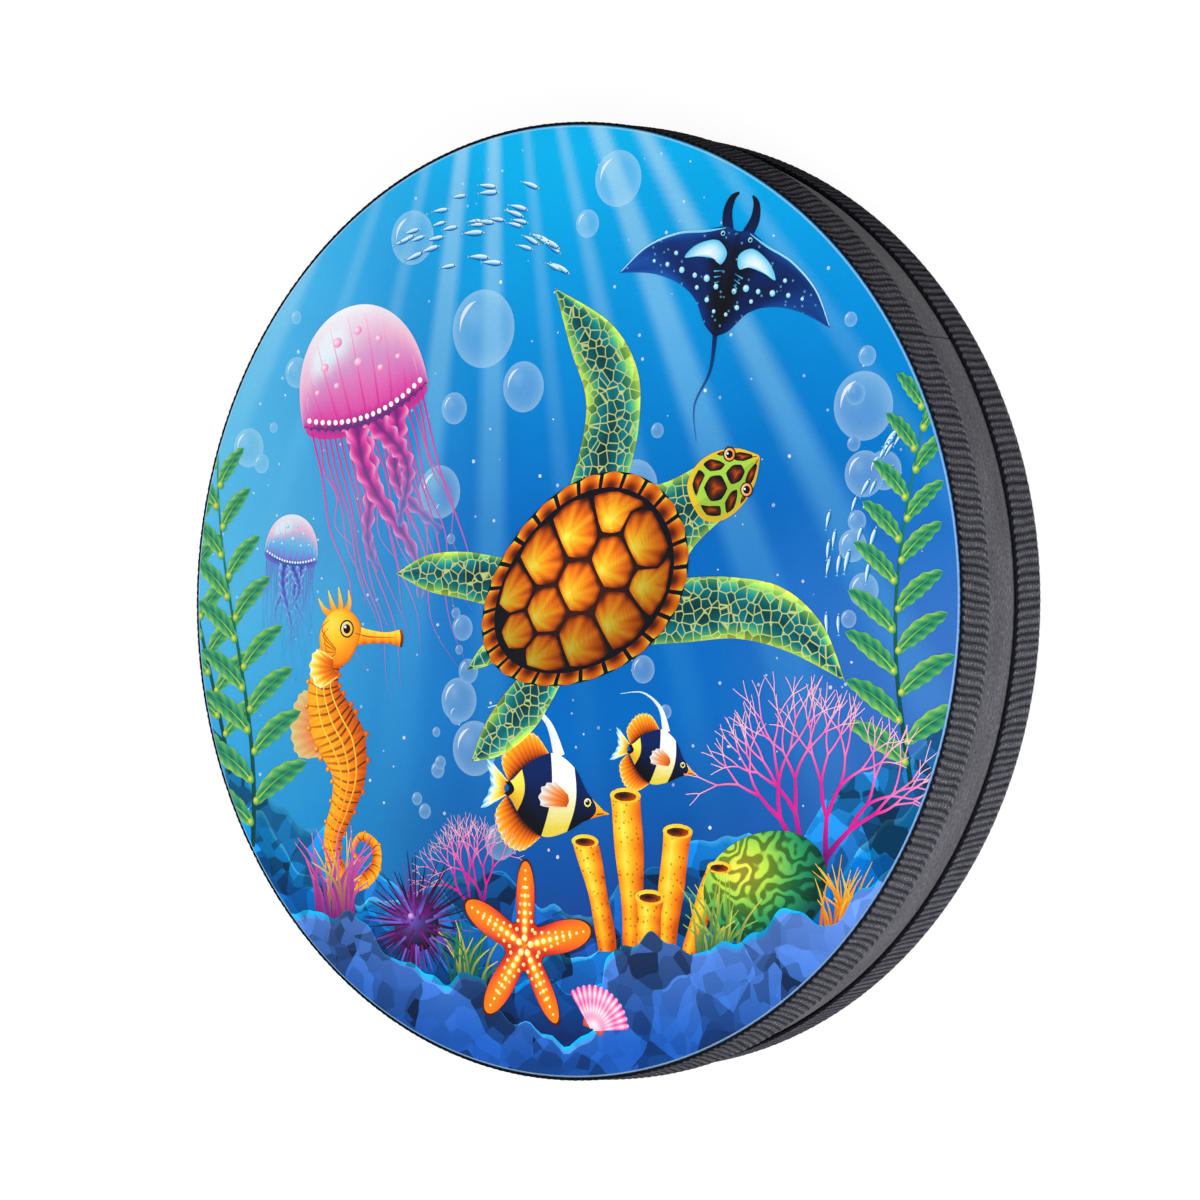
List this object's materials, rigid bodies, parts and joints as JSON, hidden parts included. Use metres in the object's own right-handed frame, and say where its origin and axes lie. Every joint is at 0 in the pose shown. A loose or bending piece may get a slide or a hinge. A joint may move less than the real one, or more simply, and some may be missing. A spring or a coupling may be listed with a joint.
{
  "type": "ocean drum",
  "caption": "Shallow round drum with a stretched film head on each side and webbing round both rims; loose steel beads inside roll over the lower head with a sound like surf.",
  "frame": {"origin": "centre of the clear back head's outer face, which the drum lies on", "axes": "+Z along the drum's axis from the back head to the printed front head, +X to the right of the print, +Y to the top of the print"},
  "size_m": [0.409, 0.409, 0.0635],
  "materials": {
    "hoop_fibre": "dense pressed wood fibre, dull",
    "shell_wrap": "dark grey fabric-look wrap with a fine brushed grain, satin",
    "printed_film": "polyester film with a bright blue sea print, satin",
    "clear_film": "clear polyester film, glossy",
    "adhesive": "cured adhesive, translucent cream",
    "webbing": "ribbed charcoal synthetic webbing",
    "bead_steel": "polished steel balls"
  },
  "bodies": {
    "shell": {"shell_hoop": "hoop_fibre", "shell_wrap": "shell_wrap", "front_head": "printed_film", "back_head": "clear_film", "front_head_adhesive": "adhesive", "back_head_adhesive": "adhesive", "front_webbing": "webbing", "back_webbing": "webbing"},
    "bead_wave_01": {"bead_wave_01": "bead_steel"},
    "bead_wave_02": {"bead_wave_02": "bead_steel"},
    "bead_wave_03": {"bead_wave_03": "bead_steel"},
    "bead_wave_04": {"bead_wave_04": "bead_steel"},
    "bead_wave_05": {"bead_wave_05": "bead_steel"},
    "bead_wave_06": {"bead_wave_06": "bead_steel"},
    "bead_wave_07": {"bead_wave_07": "bead_steel"},
    "bead_wave_08": {"bead_wave_08": "bead_steel"},
    "bead_wave_09": {"bead_wave_09": "bead_steel"},
    "bead_wave_10": {"bead_wave_10": "bead_steel"},
    "bead_wave_11": {"bead_wave_11": "bead_steel"},
    "bead_wave_12": {"bead_wave_12": "bead_steel"},
    "bead_wave_13": {"bead_wave_13": "bead_steel"},
    "bead_wave_14": {"bead_wave_14": "bead_steel"},
    "bead_wave_15": {"bead_wave_15": "bead_steel"},
    "bead_wave_16": {"bead_wave_16": "bead_steel"}
  },
  "joints": [
    {"name": "swirl", "type": "hinge", "parent": "shell", "child": "bead_wave_01", "pos_m": [0, 0, 0.0031], "axis": [0, 0, 1], "continuous": true},
    {"name": "wash_02", "type": "slide", "parent": "bead_wave_01", "child": "bead_wave_02", "axis": [1, 0, 0], "range_m": [0, 0.02156]},
    {"name": "wash_03", "type": "slide", "parent": "bead_wave_01", "child": "bead_wave_03", "axis": [1, 0, 0], "range_m": [0, 0.04311]},
    {"name": "wash_04", "type": "slide", "parent": "bead_wave_01", "child": "bead_wave_04", "axis": [1, 0, 0], "range_m": [0, 0.06466]},
    {"name": "wash_05", "type": "slide", "parent": "bead_wave_01", "child": "bead_wave_05", "axis": [1, 0, 0], "range_m": [0, 0.08621]},
    {"name": "wash_06", "type": "slide", "parent": "bead_wave_01", "child": "bead_wave_06", "axis": [1, 0, 0], "range_m": [0, 0.10776]},
    {"name": "wash_07", "type": "slide", "parent": "bead_wave_01", "child": "bead_wave_07", "axis": [1, 0, 0], "range_m": [0, 0.12931]},
    {"name": "wash_08", "type": "slide", "parent": "bead_wave_01", "child": "bead_wave_08", "axis": [1, 0, 0], "range_m": [0, 0.15086]},
    {"name": "wash_09", "type": "slide", "parent": "bead_wave_01", "child": "bead_wave_09", "axis": [1, 0, 0], "range_m": [0, 0.1724]},
    {"name": "wash_10", "type": "slide", "parent": "bead_wave_01", "child": "bead_wave_10", "axis": [1, 0, 0], "range_m": [0, 0.19396]},
    {"name": "wash_11", "type": "slide", "parent": "bead_wave_01", "child": "bead_wave_11", "axis": [1, 0, 0], "range_m": [0, 0.21551]},
    {"name": "wash_12", "type": "slide", "parent": "bead_wave_01", "child": "bead_wave_12", "axis": [1, 0, 0], "range_m": [0, 0.23706]},
    {"name": "wash_13", "type": "slide", "parent": "bead_wave_01", "child": "bead_wave_13", "axis": [1, 0, 0], "range_m": [0, 0.25861]},
    {"name": "wash_14", "type": "slide", "parent": "bead_wave_01", "child": "bead_wave_14", "axis": [1, 0, 0], "range_m": [0, 0.28016]},
    {"name": "wash_15", "type": "slide", "parent": "bead_wave_01", "child": "bead_wave_15", "axis": [1, 0, 0], "range_m": [0, 0.30171]},
    {"name": "wash_16", "type": "slide", "parent": "bead_wave_01", "child": "bead_wave_16", "axis": [1, 0, 0], "range_m": [0, 0.32326]}
  ],
  "couplings": [
    {"joint": "wash_02", "follows": "wash_09", "ratio": 0.125},
    {"joint": "wash_03", "follows": "wash_09", "ratio": 0.25},
    {"joint": "wash_04", "follows": "wash_09", "ratio": 0.375},
    {"joint": "wash_05", "follows": "wash_09", "ratio": 0.5},
    {"joint": "wash_06", "follows": "wash_09", "ratio": 0.625},
    {"joint": "wash_07", "follows": "wash_09", "ratio": 0.75},
    {"joint": "wash_08", "follows": "wash_09", "ratio": 0.875},
    {"joint": "wash_10", "follows": "wash_09", "ratio": 1.125},
    {"joint": "wash_11", "follows": "wash_09", "ratio": 1.25},
    {"joint": "wash_12", "follows": "wash_09", "ratio": 1.375},
    {"joint": "wash_13", "follows": "wash_09", "ratio": 1.5},
    {"joint": "wash_14", "follows": "wash_09", "ratio": 1.625},
    {"joint": "wash_15", "follows": "wash_09", "ratio": 1.75},
    {"joint": "wash_16", "follows": "wash_09", "ratio": 1.875}
  ]
}
